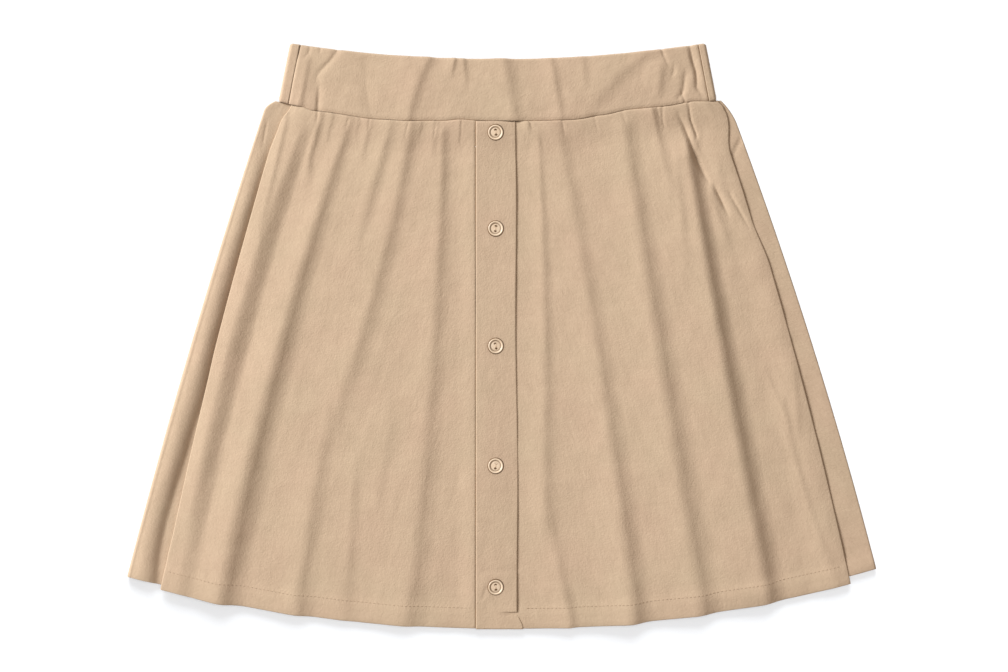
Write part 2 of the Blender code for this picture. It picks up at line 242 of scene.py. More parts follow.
# %% The crease table
GROOVES = (
    # name, points (x, y) down the crease, depth (start, middle, end), reach left and right
    ("deep pleat", ((138, 174), (143, 164), (146.4, 155), (148.6, 147.5), (151.4, 140.4),
                    (154.6, 133), (158, 127), (161.5, 121)), (0.4, 2.3, 0.5), 4.6, 5.0),
    ("pinch", ((144.8, 187), (147.7, 169), (150.1, 162.7), (152.1, 157.5)), (0.3, 1.2, 1.2), 1.8, 2.8),
    ("slash", ((165.9, 118), (171.4, 107), (176.5, 96.7)), (0.5, 1.8, 0.6), 3.6, 5.0),
    ("long slash", ((178, 112), (182.4, 104.5), (187.3, 96), (192.6, 86.5)), (0.5, 1.1, 0.3), 3.6, 3.2),
    ("gather 1", ((120.8, 180), (123.2, 170.8)), (0.4, 0.5, 0.2), 1.8, 2.5),
    ("gather 2", ((125.1, 183), (125.5, 169.3), (127.1, 163.8)), (0.3, 0.7, 0.3), 1.8, 2.5),
    ("gather 3", ((-143, 178), (-143.7, 168)), (0.4, 0.7, 0.3), 2.0, 2.5),
    ("gather 4", ((-103, 171), (-103.7, 162)), (0.3, 0.5, 0.2), 1.8, 2.5),
    ("gather 5", ((-119, 172), (-121, 163)), (0.2, 0.4, 0.2), 2.0, 2.5),
    ("gather 6", ((21.5, 169), (23.8, 163)), (0.2, 0.5, 0.2), 1.6, 2.2),
    ("gather 7", ((19.5, 162), (18.3, 149)), (0.1, 0.35, 0.1), 1.8, 2.5),
    ("gather 8", ((47, 170), (49, 158)), (0.2, 0.4, 0.2), 2.0, 2.5),
    ("gather 9", ((-51, 169), (-53, 154)), (0.2, 0.45, 0.2), 2.0, 2.5),
    ("gather 10", ((-72, 169), (-75, 156)), (0.2, 0.35, 0.2), 2.2, 2.5),
    ("gather 11", ((-31, 170), (-32, 153)), (0.3, 0.5, 0.2), 1.6, 2.2),
    ("gather 12", ((72, 173), (75, 160)), (0.2, 0.3, 0.1), 2.2, 2.5),
    ("gather 13", ((94, 176), (97, 165)), (0.2, 0.3, 0.1), 2.2, 2.5),
)
print(len(GROOVES), "sharp creases on the front")

# %% [markdown]
# One function turns a row of a table into heights. NumPy works on whole grids of points at
# once, so a sheet of thirty thousand points takes a moment and not a minute.

# %% Heights from the fold table
def fold_height(x, y, row):
    """How far one fold lifts the cloth at each point."""
    name, (x0, y0), (x1, y1), bow, steep, height, (fade_in, fade_out) = row
    t = np.clip((y0 - y) / (y0 - y1), 0.0, 1.0)
    width = through(steep, t)
    past_crest = x - mix(x0, x1, t) - 4 * bow * t * (1 - t) + STEEPEST * width
    rounding = 0.12 * width
    before = rounding * np.logaddexp(0.0, -past_crest / rounding)
    climb = LONG_CLIMBS.get(name, CLIMB) * width
    over = np.clip(past_crest / width, 0.0, 1.0)
    fallen = np.where(over < STEEPEST, over ** 2 / STEEPEST, 1 - (1 - over) ** 2 / (1 - STEEPEST))
    shape = np.exp(-before / climb) * (1 - fallen)
    lift = np.maximum(through(height, t), 0.0) * shape
    if fade_in:
        lift = lift * smooth((y0 + fade_in - y) / fade_in)
    if fade_out:
        lift = lift * smooth((y - y1 + fade_out) / fade_out)
    return lift


def folds_height(x, y, rows):
    return sum(fold_height(x, y, row) for row in rows)


tallest = max(max(height) for *_rest, height, _fades in FRONT_FOLDS)
print(f"The tallest fold on the front stands {tallest} mm")

# %% [markdown]
# A crease is cut down from the folded surface, and a set of long, low waves roughens it all.

# %% Depths of the creases, and slight unevenness
def grooves_depth(x, y, rows):
    """How far sharp creases press into the cloth, with their sides meeting in a line."""
    total = 0.0
    for _name, points, depths, left, right in rows:
        (_x0, y0), (_x1, y1) = points[0], points[-1]
        t = np.clip((y0 - y) / (y0 - y1), 0.0, 1.0)
        path_x, path_y = np.array(points, dtype=float).T
        gap = x - np.interp(-y, -path_y, path_x)
        shape = np.where(gap < 0, np.clip(1 + gap / left, 0, 1) ** 1.7,
                         np.clip(1 - gap / right, 0, 1) ** 2)
        ends = smooth((y0 + 3 - y) / 3) * smooth((y - y1 + 4) / 4)
        total = total + np.maximum(through(depths, t), 0.0) * shape * ends
    return total


RIPPLES = (
    # direction in degrees, wave length, height, shift
    (12, 61.0, 0.14, 0.3), (75, 83.0, 0.12, 1.9), (140, 47.0, 0.10, 4.1), (98, 29.0, 0.06, 2.2),
    (35, 23.0, 0.05, 5.0), (160, 17.0, 0.03, 0.9), (60, 13.0, 0.025, 3.3), (115, 11.0, 0.02, 1.1),
)


def ripple(x, y):
    """The slight unevenness that keeps laid cloth from looking ruled."""
    total = 0.0
    for degrees, length, height, shift in RIPPLES:
        turn = radians(degrees)
        phase = 2 * pi * (x * cos(turn) + y * sin(turn)) / length + shift
        total = total + height * np.sin(phase + 0.8 * np.sin(0.37 * phase + shift))
    return total


print(f"The unevenness is within {sum(row[2] for row in RIPPLES):.2f} mm either way")

# %% [markdown]
# ## How the layers lie
#
# From the surface up there are the back panel, its sides turned in as strips, the front's edge
# folded under, and the front. The heights below are those of the middle of the cloth. Near the
# hem each panel is double, so the layers above stand a little higher there.

# %% Layer heights
CLOTH = 0.7           # thickness of one ply of suedette
PLY = CLOTH + 0.08    # from the middle of one pressed ply to the next
BACK_Z = CLOTH / 2
FRONT_Z = 1.8         # where the front lies down on the back
# where the left front lies over its own folded-under edge, by how far down it is
LEFT_SHELF = ((0.0, 4.0), (0.15, 5.2), (0.42, 7.0), (0.72, 6.6), (0.95, 3.6), (1.0, 3.2))
ROLL = 0.55           # radius of the front's folded edges
WAIST_Z = 4.7         # where the front is gathered into the waistband
HEM_DEPTH = 15.5      # how far the hem is turned up
HEM_LIFT = 0.9        # what the hem's extra plies add
PLACKET_Z = 3.0
UNDERFOLD = 10.0      # how far the front's edges are folded under
SKIRT_LENGTH = SEAM_Y - HEM_Y
print(f"Before its folds the front lies {FRONT_Z} to {LEFT_SHELF[2][1]} mm up")

# %% [markdown]
# The front's height starts from the layers and rises to the waistband near the seam. The folds
# are added to it, then the creases are pressed in and the hem lifts it. The creases come last so
# that the seam can't smooth them away.

# %% The height of the front
def hem_lift(y, x):
    from_hem = y - hem_y(np.clip(x, SIDE_LEFT, SIDE_RIGHT), FRONT_SWEEP)
    return HEM_LIFT * smooth((HEM_DEPTH + 4 - from_hem) / 7)


def gathered(x, y):
    """1 at the waist seam, easing to 0 where the cloth has come down from it."""
    return 1 - smooth((seam_y(x) - y) / 26.0)


def front_height(x, y, down):
    """The height of the front's cloth, both panels."""
    drop_width = through((11.0, 18.0, 14.0), down)
    left = 1 - smooth((x - line_x("left drop", down) + drop_width / 2) / drop_width)
    climb = line_x("right fold", down) - mix(24.0, 34.0, down)
    right = smooth((x - climb) / mix(24.0, 26.0, down))
    left_shelf, right_shelf = knots(LEFT_SHELF, down), 3.6
    z = FRONT_Z + (left_shelf - FRONT_Z) * left + (right_shelf - FRONT_Z) * right
    from_left = np.maximum(x - line_x("left fold", down), 0.0)
    from_right = np.maximum(line_x("right fold", down) - x, 0.0)
    left_edge = through((3.0, 4.3, 2.9), down)
    z = z - (left_shelf - left_edge) * np.exp(-from_left / through((7.0, 12.0, 8.0), down))
    z = z - 0.6 * np.exp(-from_right / 4.0)
    waist = gathered(x, y) * smooth(from_left / 12.0) * smooth(from_right / 12.0)
    z = mix(z, WAIST_Z, waist) + folds_height(x, y, FRONT_FOLDS) * (1 - 0.3 * waist)
    z = z - grooves_depth(x, y, GROOVES) + ripple(x, y)
    z = z - 0.2 * (1 - smooth((seam_y(x) - y) / 1.4))
    return z + hem_lift(y, x)


middle_height = front_height(np.array(60.0), np.array(0.0), 0.42)
print(f"The front stands {middle_height:.1f} mm up half way down its right panel")

# %% [markdown]
# ## Turning a plan into a sheet of cloth
#
# A sheet starts as a flat grid from `bmesh.ops.create_grid`. Each vertex knows its column and
# row from where the grid put it, so the whole sheet is shaped by handing it two tables of
# columns and rows. A UV map in metres of cloth is written at the same time: the weave follows
# it, even where the cloth turns under. A Solidify modifier then gives the ply its thickness.

# %% Sheets from grids
def grid_mesh(name, x, y, z, across, along_cloth):
    """A quad mesh through tables of points (rows by columns) in millimetres."""
    rows, columns = x.shape
    bm = bmesh.new()
    bmesh.ops.create_grid(bm, x_segments=columns - 1, y_segments=rows - 1, size=1.0)
    mesh = bpy.data.meshes.new(name)
    bm.to_mesh(mesh)
    bm.free()
    flat = np.empty(len(mesh.vertices) * 3)
    mesh.vertices.foreach_get("co", flat)
    flat = flat.reshape(-1, 3)
    column = np.rint((flat[:, 0] + 1) / 2 * (columns - 1)).astype(int)
    row = np.rint((1 - flat[:, 1]) / 2 * (rows - 1)).astype(int)
    points = np.stack([x, y, z], axis=-1)[row, column] * MM
    mesh.vertices.foreach_set("co", points.ravel())
    uv = np.stack([across, along_cloth], axis=-1)[row, column] * MM
    corners = np.empty(len(mesh.loops), dtype=int)
    mesh.loops.foreach_get("vertex_index", corners)
    mesh.uv_layers.new(name="cloth").data.foreach_set("uv", uv[corners].ravel())
    mesh.update()
    return mesh


def distances(x, y, z, axis):
    """Running length along the cloth's rows or columns, for its UV map."""
    steps = np.sqrt(sum(np.diff(part, axis=axis) ** 2 for part in (x, y, z)))
    start = np.zeros_like(np.take(x, [0], axis=axis))
    return np.concatenate([start, np.cumsum(steps, axis=axis)], axis=axis)


def add_piece(name, mesh, material, replaces=()):
    piece = bpy.data.objects.new(name, mesh)
    bpy.context.scene.collection.objects.link(piece)
    mesh.materials.append(material)
    mesh.shade_smooth()
    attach(piece, "root")
    if replaces:
        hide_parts(*replaces)
    return piece


def cloth_piece(name, points, replaces, uv_shift=0.0):
    """A sheet from its points, with a UV map measured along the cloth itself."""
    x, y, z = points
    across = distances(x, y, z, axis=1) + uv_shift
    middle = x.shape[1] // 2
    lengthwise = distances(x, y, z, axis=0)[:, [middle]] + np.zeros_like(x)
    piece = add_piece(name, grid_mesh(name, x, y, z, across, lengthwise), suede, replaces)
    ply = piece.modifiers.new("Ply", "SOLIDIFY")
    ply.thickness = CLOTH * MM
    ply.offset = 0.0
    quads = (x.shape[0] - 1) * (x.shape[1] - 1)
    print(f"{name}: {x.shape[0]} rows by {x.shape[1]} columns, about {quads * 4} triangles")
    return piece


# %% [markdown]
# ## Shader arithmetic
#
# Materials are node trees, but long trees are easier to read as formulas. `Wire` wraps one
# output socket, and adding or multiplying wires adds Math nodes. `Finish.node` makes any other
# node from its type, its settings and what goes into its sockets.

# %% Nodes written as formulas
class Wire:
    def __init__(self, finish, socket):
        self.finish = finish
        self.socket = socket

    def math(self, operation, first, second):
        return self.finish.node("ShaderNodeMath", {"operation": operation}, {0: first, 1: second})

    def __add__(self, other):
        return self.math("ADD", self, other)

    def __sub__(self, other):
        return self.math("SUBTRACT", self, other)

    def __rsub__(self, other):
        return self.math("SUBTRACT", other, self)

    def __mul__(self, other):
        return self.math("MULTIPLY", self, other)

    __radd__ = __add__
    __rmul__ = __mul__


class Finish:
    """A material under construction."""

    def __init__(self, name, roughness, sheen=0.0, coat=0.0):
        self.material = bpy.data.materials.new(name)
        self.material.use_nodes = True
        self.nodes = self.material.node_tree.nodes
        self.shader = self.nodes["Principled BSDF"]
        self.shader.inputs["Roughness"].default_value = roughness
        self.shader.inputs["Sheen Weight"].default_value = sheen
        self.shader.inputs["Coat Weight"].default_value = coat

    def put(self, value, socket):
        if isinstance(value, Wire):
            self.material.node_tree.links.new(value.socket, socket)
        else:
            socket.default_value = value

    def node(self, kind, settings=None, inputs=None, output=0):
        made = self.nodes.new(kind)
        for setting, value in (settings or {}).items():
            setattr(made, setting, value)
        for socket, value in (inputs or {}).items():
            self.put(value, made.inputs[socket])
        return Wire(self, made.outputs[output])

    def into(self, socket, value):
        self.put(value, self.shader.inputs[socket])

    def noise(self, where, scale, detail=2.0, roughness=0.5):
        """Fractal noise, centred on nought and about one either way."""
        inputs = {"Vector": where, "Scale": scale, "Detail": detail, "Roughness": roughness}
        return (self.node("ShaderNodeTexNoise", inputs=inputs) - 0.5) * 2.0

    def stretch(self, where, scale, degrees=0.0):
        inputs = {"Vector": where, "Scale": scale, "Rotation": (0.0, 0.0, radians(degrees))}
        return self.node("ShaderNodeMapping", inputs=inputs)

    def blend(self, factor, first, second):
        """A colour between two others, by a factor from 0 to 1."""
        made = self.nodes.new("ShaderNodeMix")
        made.data_type = "RGBA"
        self.put(factor, made.inputs["Factor"])
        self.put(first, made.inputs[6])
        self.put(second, made.inputs[7])
        return Wire(self, made.outputs[2])

    def clamp(self, value):
        return self.node("ShaderNodeClamp", inputs={"Value": value})

    def bump(self, height, distance, strength=1.0):
        inputs = {"Height": height, "Distance": distance, "Strength": strength}
        self.into("Normal", self.node("ShaderNodeBump", inputs=inputs))


# %% [markdown]
# ## Suedette
#
# Suedette is a woven cloth whose face is brushed into a short nap. Three things show. The nap
# lies this way and that where hands have stroked it, in soft blotches a centimetre or two
# across that are a little pinker or greener than the rest. Brush marks run across them. The
# weave gives a fine grain of less than a millimetre. The nap also catches light at glancing
# angles, which is the shader's sheen.

# %% Suedette
TAN = (0.508, 0.384, 0.264, 1.0)
TAN_LIGHT = (0.610, 0.466, 0.326, 1.0)
TAN_DARK = (0.410, 0.300, 0.200, 1.0)
TAN_PINK = (0.520, 0.376, 0.264, 1.0)


def suedette(name):
    finish = Finish(name, roughness=0.93, sheen=0.25)
    finish.shader.inputs["Sheen Roughness"].default_value = 0.5
    finish.shader.inputs["Sheen Tint"].default_value = (1.0, 0.93, 0.84, 1.0)
    finish.shader.inputs["Specular IOR Level"].default_value = 0.15
    cloth = finish.node("ShaderNodeUVMap", {"uv_map": "cloth"})
    blotch = finish.noise(cloth, 55.0, detail=3.0, roughness=0.55)
    patch = finish.noise(finish.stretch(cloth, (1.0, 1.0, 1.0), 31.0), 19.0, detail=2.0)
    strokes = finish.noise(finish.stretch(cloth, (1.0, 0.32, 1.0), 24.0), 170.0, detail=2.0)
    cross_strokes = finish.noise(finish.stretch(cloth, (0.3, 1.0, 1.0), -17.0), 210.0, detail=2.0)
    warp = finish.noise(finish.stretch(cloth, (1.0, 0.28, 1.0)), 1500.0, detail=1.0)
    weft = finish.noise(finish.stretch(cloth, (0.28, 1.0, 1.0)), 1500.0, detail=1.0)
    fuzz = finish.noise(cloth, 620.0, detail=3.0, roughness=0.6)
    fibre = finish.noise(cloth, 330.0, detail=2.0, roughness=0.6)
    tone = (blotch * 0.21 + strokes * 0.26 + cross_strokes * 0.21 + fibre * 0.22
            + warp * 0.15 + weft * 0.15 + fuzz * 0.23)
    lighter = finish.clamp(tone)
    darker = finish.clamp(0.0 - tone)
    colour = finish.blend(finish.clamp(0.5 + patch * 1.1), TAN, TAN_PINK)
    colour = finish.blend(lighter, colour, TAN_LIGHT)
    colour = finish.blend(darker, colour, TAN_DARK)
    finish.into("Base Color", colour)
    finish.into("Roughness", 0.93 - 0.08 * lighter)
    height = warp * 0.35 + weft * 0.35 + fuzz * 0.6 + strokes * 0.6 + fibre * 0.5
    finish.bump(height, 0.0003, 0.55)
    return finish.material


suede = suedette("suedette")
print("The suedette has", len(suede.node_tree.nodes), "nodes")

# %% [markdown]
# ## Thread, horn and the floor
#
# The stitches are a matt thread a shade darker than the cloth. The buttons are horn-coloured
# plastic, cloudy inside and satin outside. The floor is a plain pale sheet.

# %% The other finishes
HORN, HORN_PALE = (0.70, 0.53, 0.37, 1.0), (0.80, 0.65, 0.49, 1.0)
# The second colour is painted shade: a dark brown for the shade on the buttons' outer flank, in their
# groove and in their holes.
HORN_SPECK, HORN_PAINTED_SHADE = (0.50, 0.34, 0.20, 1.0), (0.125, 0.064, 0.026, 1.0)
TABLE, TABLE_PALE = (0.88, 0.91, 0.95, 1.0), (0.90, 0.93, 0.97, 1.0)


def thread_finish(name, dark, light):
    finish = Finish(name, roughness=0.75, sheen=0.1)
    where = finish.node("ShaderNodeTexCoord", output="Object")
    twist = finish.noise(where, 2600.0, detail=1.0)
    finish.into("Base Color", finish.blend(finish.clamp(0.5 + twist), dark, light))
    finish.bump(twist, 0.0001)
    return finish.material


def horn_finish():
    finish = Finish("button_horn", roughness=0.5, coat=0.1)
    finish.shader.inputs["Coat Roughness"].default_value = 0.25
    where = finish.node("ShaderNodeTexCoord", output="Object")
    cloud = finish.noise(finish.stretch(where, (1.0, 0.45, 1.0), 35.0), 240.0, detail=3.0)
    speck = finish.noise(where, 1400.0, detail=2.0)
    colour = finish.blend(finish.clamp(0.5 + cloud), HORN, HORN_PALE)
    colour = finish.blend(finish.clamp(speck * 0.5), colour, HORN_SPECK)
    # Painted shade: this attribute blends the horn towards dark brown where shade falls, on the rim's
    # outer flank, in the groove and in the holes.
    painted_shade = finish.node("ShaderNodeAttribute", {"attribute_name": "painted_shade"}, output=2)
    colour = finish.blend(painted_shade, colour, HORN_PAINTED_SHADE)
    finish.into("Base Color", colour)
    finish.into("Roughness", 0.38 + 0.08 * cloud)
    finish.bump(cloud * 0.5 + speck * 0.3, 0.00008, 0.6)
    return finish.material


def floor_finish():
    finish = Finish("floor", roughness=0.95)
    where = finish.node("ShaderNodeTexCoord", output="Object")
    cloud = finish.noise(where, 1.5)
    finish.into("Base Color", finish.blend(finish.clamp(0.5 + cloud), TABLE, TABLE_PALE))
    return finish.material


thread = thread_finish("thread", (0.36, 0.25, 0.165, 1.0), (0.47, 0.335, 0.225, 1.0))
pale_thread = thread_finish("pale_thread", (0.56, 0.41, 0.28, 1.0), (0.66, 0.50, 0.35, 1.0))
horn = horn_finish()
print("Finishes:", ", ".join(sorted(material.name for material in bpy.data.materials)))

# %% [markdown]
# ## Rows of a panel, and its turned-up hem
#
# A panel's rows run from the waist seam to the hem, closer together near the seam, where the
# gathers are short. The hem could be a second piece laid inside, but a real one is the same
# cloth turned up: after the last row the sheet goes round a tiny bend and back up about 15 mm,
# one ply further in. "Inward" is the direction from the outside of the skirt to its inside,
# which is down on the front and up on the back.

# %% Laying a panel
SEAM_SPACING = 0.45   # of the rows at the seam, as a part of an even spacing


def panel_rows(count):
    """Parts of the length, from the seam down."""
    part = np.linspace(0.0, 1.0, count)
    return (part * mix(SEAM_SPACING, 1.0, part)).reshape(-1, 1)


def with_hem(lay, down):
    """Adds the bend at the hem and the turned-up ply to a panel.

    lay(down) gives x, y, z and the inward direction's x and z, each rows by columns.
    """
    last = 1.0 - PLY / 2 / SKIRT_LENGTH
    x, y, z, in_x, in_z = lay(np.minimum(down, last))
    edge = [part[-1:] for part in (x, y, z, in_x, in_z)]
    bends = np.linspace(0.0, pi, 7)[1:].reshape(-1, 1)
    inside = (1 - np.cos(bends)) * PLY / 2
    bend_x = edge[0] + edge[3] * inside
    bend_y = edge[1] - np.sin(bends) * PLY / 2
    bend_z = edge[2] + edge[4] * inside
    back_up = np.linspace(last, 1.0 - HEM_DEPTH / SKIRT_LENGTH, 8)[1:].reshape(-1, 1)
    up_x, up_y, up_z, up_in_x, up_in_z = lay(back_up)
    return (np.concatenate([x, bend_x, up_x + up_in_x * PLY]),
            np.concatenate([y, bend_y, up_y]),
            np.concatenate([z, bend_z, up_z + up_in_z * PLY]))


def notched_hem(x, sweep):
    """The hem hangs lower under a crest and steps up past it."""
    y = hem_y(x, sweep)
    return y - 0.4 * (folds_height(x, y, FRONT_FOLDS) - 1.6)


print(f"The hem hangs at {notched_hem(np.array(60.0), FRONT_SWEEP):.1f} mm, 60 mm right of the middle")

# %% [markdown]
# ## The front panels
#
# Each front panel has three stretches across: the edge that is folded under, the roll where it
# turns, and the visible cloth. The left one ends in the placket's seam, and the right one runs
# on under the placket. The folded edge could be left out, since it hardly shows, but it holds
# the visible edge up and gives it its shadow.

# %% Lay the front panels
def placket_z(y):
    """The placket's height: it rises to the gathered seam and dips a little in its middle."""
    dip = 0.28 * smooth((150 - y) / 60) * smooth((y + 110) / 60)
    return PLACKET_Z + 2.0 * gathered(-4.0, y) - dip


def seam_dip(y):
    """How deep the stitching draws in the placket's seam, deeper near the waist."""
    return 0.16 + 0.24 * smooth((y - 40) / 80)


def front_panel(name, side, columns):
    fold = f"{side} fold"
    sign = -1.0 if side == "left" else 1.0
    seam_edge = placket_low[0] - 0.05
    hidden_edge = placket_low[0] + 4.0

    def lay(down):
        edge = line_x(fold, down)
        shelf_x = edge - sign * (ROLL + CLOTH / 2)
        inner = seam_edge if side == "left" else hidden_edge
        across = np.linspace(0.0, 1.0, columns).reshape(1, -1)
        top_x = mix(shelf_x, inner, across)
        waist_x = mix(line_x(fold, 0.0) - sign * ROLL, inner, across)
        hem_x = mix(line_x(fold, 1.0) - sign * ROLL, inner, across)
        top_y = mix(seam_y(waist_x) - 0.05, notched_hem(hem_x, FRONT_SWEEP), down)
        top_z = front_height(top_x, top_y, down)
        if side == "left":
            seam = smooth(1 - (seam_edge - top_x) / 16.0)
            top_z = mix(top_z, placket_z(top_y), seam)
            top_z = top_z - 1.5 * seam_dip(top_y) * smooth(1 - (seam_edge - top_x) / 1.3)
        else:
            waist = gathered(top_x, top_y)
            flat_z = FRONT_Z + 1.8 * waist + hem_lift(top_y, top_x)
            beside = smooth((top_x - 9.0) / mix(26.0, 12.0, waist))
            top_z = mix(flat_z, top_z, mix(0.25, 1.0, beside))
            covered = smooth((placket_high[0] - 1.0 - top_x) / 3.5)
            top_z = mix(top_z, flat_z - 0.62, covered)
        start_y, start_z = top_y[:, :1], top_z[:, :1]
        angle = np.linspace(pi / 2, -pi / 2, 11)[1:].reshape(1, -1)
        roll_x = shelf_x + sign * ROLL * np.cos(angle)
        roll_z = start_z - ROLL + ROLL * np.sin(angle)
        under_x = shelf_x - sign * np.linspace(0.0, UNDERFOLD, 7)[1:].reshape(1, -1)
        under = (under_x, start_y + 0 * under_x, start_z - 2 * ROLL + 0 * under_x,
                 0 * under_x, 0 * under_x + 1)
        roll = (roll_x, start_y + 0 * roll_x, roll_z,
                -sign * np.cos(angle) + 0 * roll_x, -np.sin(angle) + 0 * roll_x)
        top = (top_x, top_y, top_z, 0 * top_x, 0 * top_x - 1)
        return [np.concatenate([a[:, ::-1], b[:, ::-1], c], axis=1)
                for a, b, c in zip(under, roll, top)]

    points = with_hem(lay, panel_rows(150))
    return cloth_piece(name, points, (f"front_{side}_panel",))


front_left = front_panel("front_left", "left", 200)
front_right = front_panel("front_right", "right", 235)

# %% [markdown]
# ## The back panel
#
# The back lies on the surface, so it is flat underneath except where the folds above pull it
# up with them into shallow troughs. Its sides turn up at the outline and come back in over it
# as the strips that show beside the front. The left strip stands up in a soft roll and falls
# away to the front's edge. One sheet makes all of it, so that no seam opens at the outline.

# %% The strips at the sides
STRIP_COLUMNS = 26
STRIP = {
    # height where the strip leaves the outline (waist, half way, hem), and how it leans there
    "left": ((2.4, 5.2, 3.6), 0.24),
    "right": ((1.9, 1.95, 2.1), 0.0),
}
STRIP_CREASES = (
    ("right crease", ((187, 154.5), (183, 147), (180, 141)), (0.8, 1.0, 0.5), 3.4, 4.6),
    ("left crease", ((-183, 168), (-186, 150)), (0.3, 0.6, 0.3), 2.4, 2.0),
)
# towards the hem the strips reach their foot before the front's edge: by how much (down, factor)
NARROWER = ((0.6, 1.0), (0.72, 1.17), (0.82, 1.38), (0.88, 1.48), (0.93, 1.38), (1.0, 1.15))


def back_hem_y(x):
    """The back's hem: it shows at the sides and stays out of sight in the middle."""
    return hem_y(x, BACK_SWEEP) + 1.5 - 3.2 * np.clip(np.abs(x) / SIDE_RIGHT, 0, 1) ** 6


def strip_points(side, down, outline):
    """One turned-in side: from its inner end out over the strip and round to the back."""
    sign = -1.0 if side == "left" else 1.0
    starts, lean = STRIP[side]
    part = np.linspace(0.0, 1.0, STRIP_COLUMNS).reshape(1, -1)
    angle = np.linspace(pi / 2 + lean, -pi / 2, 13)[1:-1].reshape(1, -1)

    def across(down, lift=0.0):
        start_z = through(starts, down) + lift
        radius = (start_z - BACK_Z) / (1 + cos(lean))
        centre = outline(down) - sign * (radius + CLOTH / 2)
        start_x = centre - sign * radius * sin(lean)
        inner = line_x(f"{side} fold", down) - sign * UNDERFOLD
        strip_x = mix(inner, start_x, part)
        turn_x = centre + sign * radius * np.cos(angle)
        return np.concatenate([strip_x, turn_x], axis=1), strip_x, start_x, start_z, radius, centre

    hem_x = across(np.ones((1, 1)))[0]
    waist_x = across(np.zeros((1, 1)))[0]
    y = mix(seam_y(waist_x) - 0.05, back_hem_y(hem_x), down)
    strip_y, lift = y[:, :STRIP_COLUMNS], hem_lift(y, hem_x)[:, :STRIP_COLUMNS]
    x, strip_x, start_x, start_z, radius, centre = across(down, lift[:, -1:])
    width = np.abs(start_x - line_x(f"{side} fold", down)) / knots(NARROWER, down)
    low = FRONT_Z + lift
    reach = np.abs(start_x - strip_x) / width
    bend = lean + (start_z - low) / width
    if side == "left":
        swell = width * (lean * reach - bend * reach ** 2.5) + start_z - low
        above = mix((start_z - low) * (1 - reach), swell, smooth(down / 0.2))
        strip_z = low + 0.3 * np.logaddexp(0.0, above / 0.3)
    else:
        strip_z = mix(start_z, low, smooth(reach))
    strip_z = strip_z - grooves_depth(strip_x, strip_y, STRIP_CREASES)
    inside = smooth(np.abs(start_x - strip_x) / 8.0)
    strip_z = strip_z + 0.8 * inside * ripple(strip_x * 1.3, strip_y)
    turn_z = BACK_Z + radius + radius * np.sin(angle)
    z = np.concatenate([strip_z, turn_z], axis=1)
    in_x = np.concatenate([0 * strip_x, -sign * np.cos(angle) + 0 * turn_z], axis=1)
    in_z = np.concatenate([0 * strip_x - 1, -np.sin(angle) + 0 * turn_z], axis=1)
    return x, y, z, in_x, in_z, centre


print(f"The left strip leaves the outline {STRIP['left'][0][1]} mm up, half way down")

# %% [markdown]
# Between its two sides the back is one lying stretch. Where a fold above stands high the back is
# drawn up into it a little, as two layers of laid cloth move together.

# %% Lay the back panel
def back_height(x, y):
    pulled = 0.5 * (folds_height(x, y, FRONT_FOLDS) - 0.9)
    clear_of_sides = smooth((x - SIDE_LEFT * 0.86) / 30) * smooth((SIDE_RIGHT * 0.86 - x) / 30)
    return BACK_Z + np.maximum(pulled, 0.0) * clear_of_sides * smooth((seam_y(x) - y) / 40)


def lay_back(down):
    left = strip_points("left", down, left_side)
    right = strip_points("right", down, right_side)
    part = np.linspace(0.0, 1.0, 150).reshape(1, -1)
    x = mix(left[5], right[5], part)
    waist_x = mix(left_side(np.zeros(1))[0] + 2, right_side(np.zeros(1))[0] - 2, part)
    hem_x = mix(SIDE_LEFT + 2, SIDE_RIGHT - 2, part)
    y = mix(seam_y(waist_x) - 0.05, back_hem_y(hem_x), down)
    z = back_height(x, y)
    lying = (x, y, z, 0 * x, 0 * x + 1)
    return [np.concatenate([left[k], lying[k], right[k][:, ::-1]], axis=1) for k in range(5)]


back = cloth_piece("back", with_hem(lay_back, panel_rows(120)), ("back_panel",))

# %% [markdown]
# ## The placket
#
# The placket is a strip folded double. Its left edge is seamed to the left front and its right
# edge is a free fold, which throws the dark line down the middle of the skirt. At the hem its
# corner is caught under the stitching and flares out to the right. A bevelled box would give
# the same outline, but not the rolled edge or the way it sinks at its seam.

# %% The placket's edge and surface
PLACKET_SEAM = placket_low[0] + 0.05
CAUGHT_Y = -214.0     # where the free edge is caught by the hem's stitching


def placket_edge(y):
    wander = 0.8 * np.sin((y - 60.0) / 34.0) * smooth((170 - y) / 60)
    edge = mix(11.0, 12.9, (SEAM_Y - y) / SKIRT_LENGTH) + wander * 0.7
    return edge + 4.5 * smooth((CAUGHT_Y - y) / 13.0)


def placket_relief(x, y):
    """Faint presses and the small crease where the free edge is caught."""
    press = -0.22 * np.exp(-((y + 182.5) / 2.2) ** 2) * smooth((x + 17) / 4)
    drag = -0.3 * np.exp(-((x + 13.5 + (y + 201) * -0.35) / 1.8) ** 2) * smooth((y + 208) / 6)
    drag = drag * smooth((-192 - y) / 5)
    pull = 0.25 * np.sin((y + 40) / 47.0) * np.sin((x + 4) / 11.0)
    return press + drag + pull + 0.6 * ripple(x * 1.4 + 31, y * 0.8)


print(f"The placket is {placket_edge(0.0) - PLACKET_SEAM:.1f} mm wide half way down")

# %% [markdown]
# Across, the placket has its upper ply, the roll at its free edge and its under ply. Its rows
# stand closer where the stitching catches it.

